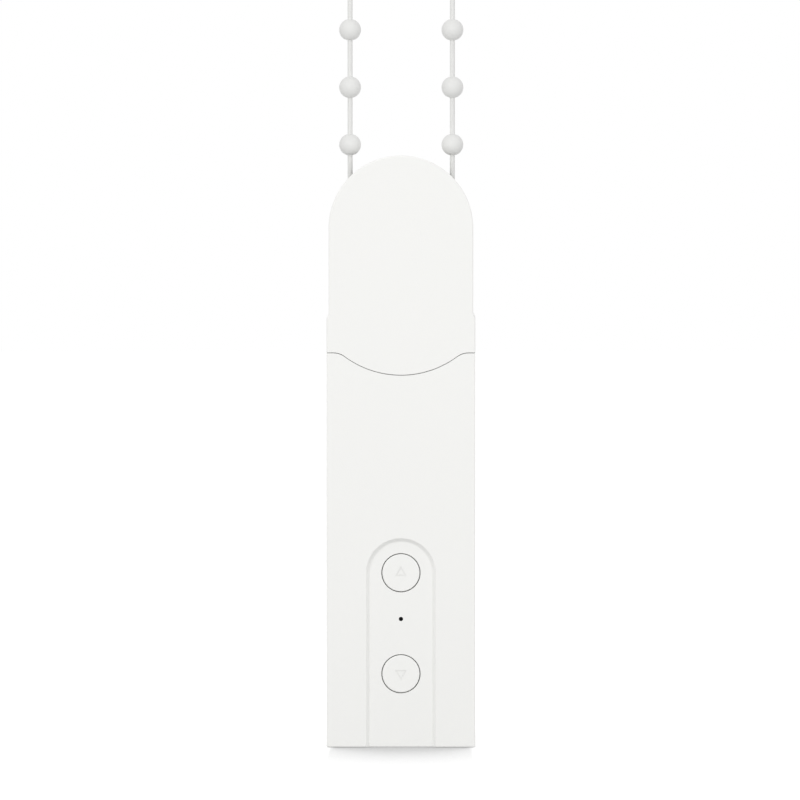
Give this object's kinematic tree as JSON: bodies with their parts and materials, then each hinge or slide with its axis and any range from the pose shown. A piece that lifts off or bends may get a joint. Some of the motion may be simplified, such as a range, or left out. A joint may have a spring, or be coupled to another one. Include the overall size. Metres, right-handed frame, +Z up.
{
  "type": "roller blind chain motor",
  "caption": "Slim battery motor with a rounded head and two round keys, slid onto a wall bracket and driving a roller blind's bead chain.",
  "frame": {"origin": "centre of the wall bracket's back face, on the wall", "axes": "+Z up, along the case; +Y into the wall, so that the keys face -Y; +X to the right as seen from the front"},
  "size_m": [0.031, 0.0305, 0.1742],
  "materials": {
    "case_white": "fine satin",
    "key_white": "satin",
    "bracket_plastic": "satin",
    "bead_white": "smooth satin",
    "chain_cord": "fine braid",
    "smoked_clear": "glossy, nearly black",
    "led_white": "clear",
    "switch_black": "matt",
    "plunger_white": "matt",
    "board_green": "solder mask",
    "chip_black": "matt",
    "shield_steel": "tinned",
    "screw_steel": "zinc plated",
    "bright_steel": "ground",
    "motor_steel": "nickel plated",
    "brass": "machined",
    "bronze": "sintered",
    "nickel": "rolled strip",
    "cell_body": "shrink wrap over a metal can",
    "foam_black": "closed-cell foam",
    "lead_red": "flexible insulation",
    "gear_plastic": "natural acetal, slightly waxy",
    "frame_grey": "glass-filled, matt"
  },
  "bodies": {
    "wall_bracket": {"wall_bracket": "bracket_plastic"},
    "motor_unit": {"rear_housing": "case_white", "front_housing": "case_white", "up_switch": "switch_black", "down_switch": "switch_black", "light_pipe": "smoked_clear", "status_led": "led_white", "control_board": "board_green", "board_screws": "screw_steel", "radio_module": "shield_steel", "board_chips": "chip_black", "usb_socket": "shield_steel", "battery_cell": "cell_body", "battery_tabs": "nickel", "battery_pad": "foam_black", "battery_leads": "lead_red", "motor_can": "motor_steel", "motor_end_cap": "chip_black", "motor_terminals": "brass", "motor_leads": "lead_red", "motor_screws": "screw_steel", "reduction_axle": "bright_steel", "rear_bush": "bronze", "front_bush": "bronze", "gear_frame": "frame_grey", "carrier_plate": "frame_grey", "gear_screws": "screw_steel", "housing_screws": "screw_steel", "chain_inside": "chain_cord", "beads_inside": "bead_white", "chain_outside": "chain_cord", "beads_outside": "bead_white"},
    "head_cover": {"head_cover": "case_white"},
    "up_button": {"up_button": "key_white", "up_plunger": "plunger_white"},
    "down_button": {"down_button": "key_white", "down_plunger": "plunger_white"},
    "drive_wheel": {"chain_wheel": "gear_plastic", "output_gear": "gear_plastic", "drive_axle": "bright_steel", "axle_clip": "bright_steel"},
    "reduction_gear": {"reduction_gear": "gear_plastic"},
    "motor_worm": {"motor_shaft": "bright_steel", "worm": "brass"}
  },
  "joints": [
    {"name": "unit_lift", "type": "slide", "parent": "wall_bracket", "child": "motor_unit", "axis": [0, 0, 1], "range_m": [0, 0.036]},
    {"name": "cover_pull", "type": "slide", "parent": "motor_unit", "child": "head_cover", "axis": [0, -1, 0], "range_m": [0, 0.024]},
    {"name": "up_button_press", "type": "slide", "parent": "motor_unit", "child": "up_button", "axis": [0, 1, 0], "range_m": [0, 0.0004], "stiffness_N_per_m": 1000, "springref_m": -0.0005},
    {"name": "down_button_press", "type": "slide", "parent": "motor_unit", "child": "down_button", "axis": [0, 1, 0], "range_m": [0, 0.0004], "stiffness_N_per_m": 1000, "springref_m": -0.0005},
    {"name": "chain_wheel_spin", "type": "hinge", "parent": "motor_unit", "child": "drive_wheel", "pos_m": [0, -0.02247, 0.04451], "axis": [0, -1, 0], "continuous": true, "deforming": ["chain_inside", "beads_inside"]},
    {"name": "reduction_spin", "type": "hinge", "parent": "motor_unit", "child": "reduction_gear", "pos_m": [0.0034, -0.01131, 0.03051], "axis": [0, -1, 0], "continuous": true},
    {"name": "worm_spin", "type": "hinge", "parent": "motor_unit", "child": "motor_worm", "pos_m": [-0.0056, -0.013, 0.03051], "axis": [0, 0, 1], "continuous": true}
  ],
  "couplings": [
    {"joint": "reduction_spin", "follows": "chain_wheel_spin", "ratio": -2},
    {"joint": "worm_spin", "follows": "chain_wheel_spin", "ratio": -32}
  ]
}
